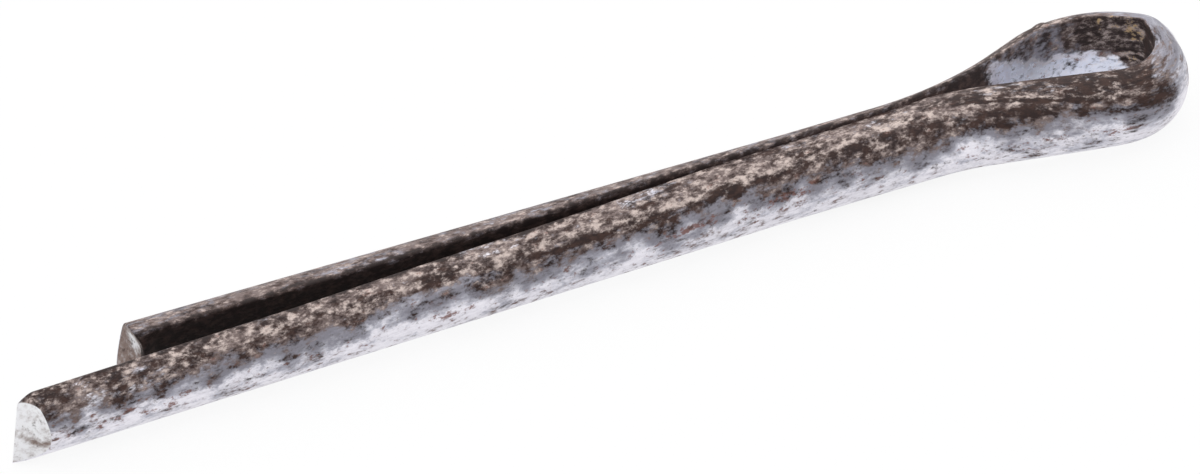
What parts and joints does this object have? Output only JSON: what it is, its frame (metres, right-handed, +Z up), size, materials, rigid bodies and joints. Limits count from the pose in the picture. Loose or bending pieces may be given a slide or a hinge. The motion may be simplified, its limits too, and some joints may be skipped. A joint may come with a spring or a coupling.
{
  "type": "split pin",
  "caption": "Split pin of half-round steel wire folded flat to flat, with a drawn-out eye, a long and a short leg and sheared ends.",
  "frame": {"origin": "on the shank's axis, where the two flats part to form the eye", "axes": "+X along the shank towards the eye, +Z up and square to the plane of the fold, with the long leg on the -Y side and the short leg on the +Y side"},
  "size_m": [0.0478, 0.0063, 0.0028],
  "materials": {
    "steel_wire": "worn dull blue-grey wire steel with dark brown-black oxide mottling and rust specks"
  },
  "bodies": {
    "root": {"split_pin": "steel_wire"}
  },
  "joints": []
}
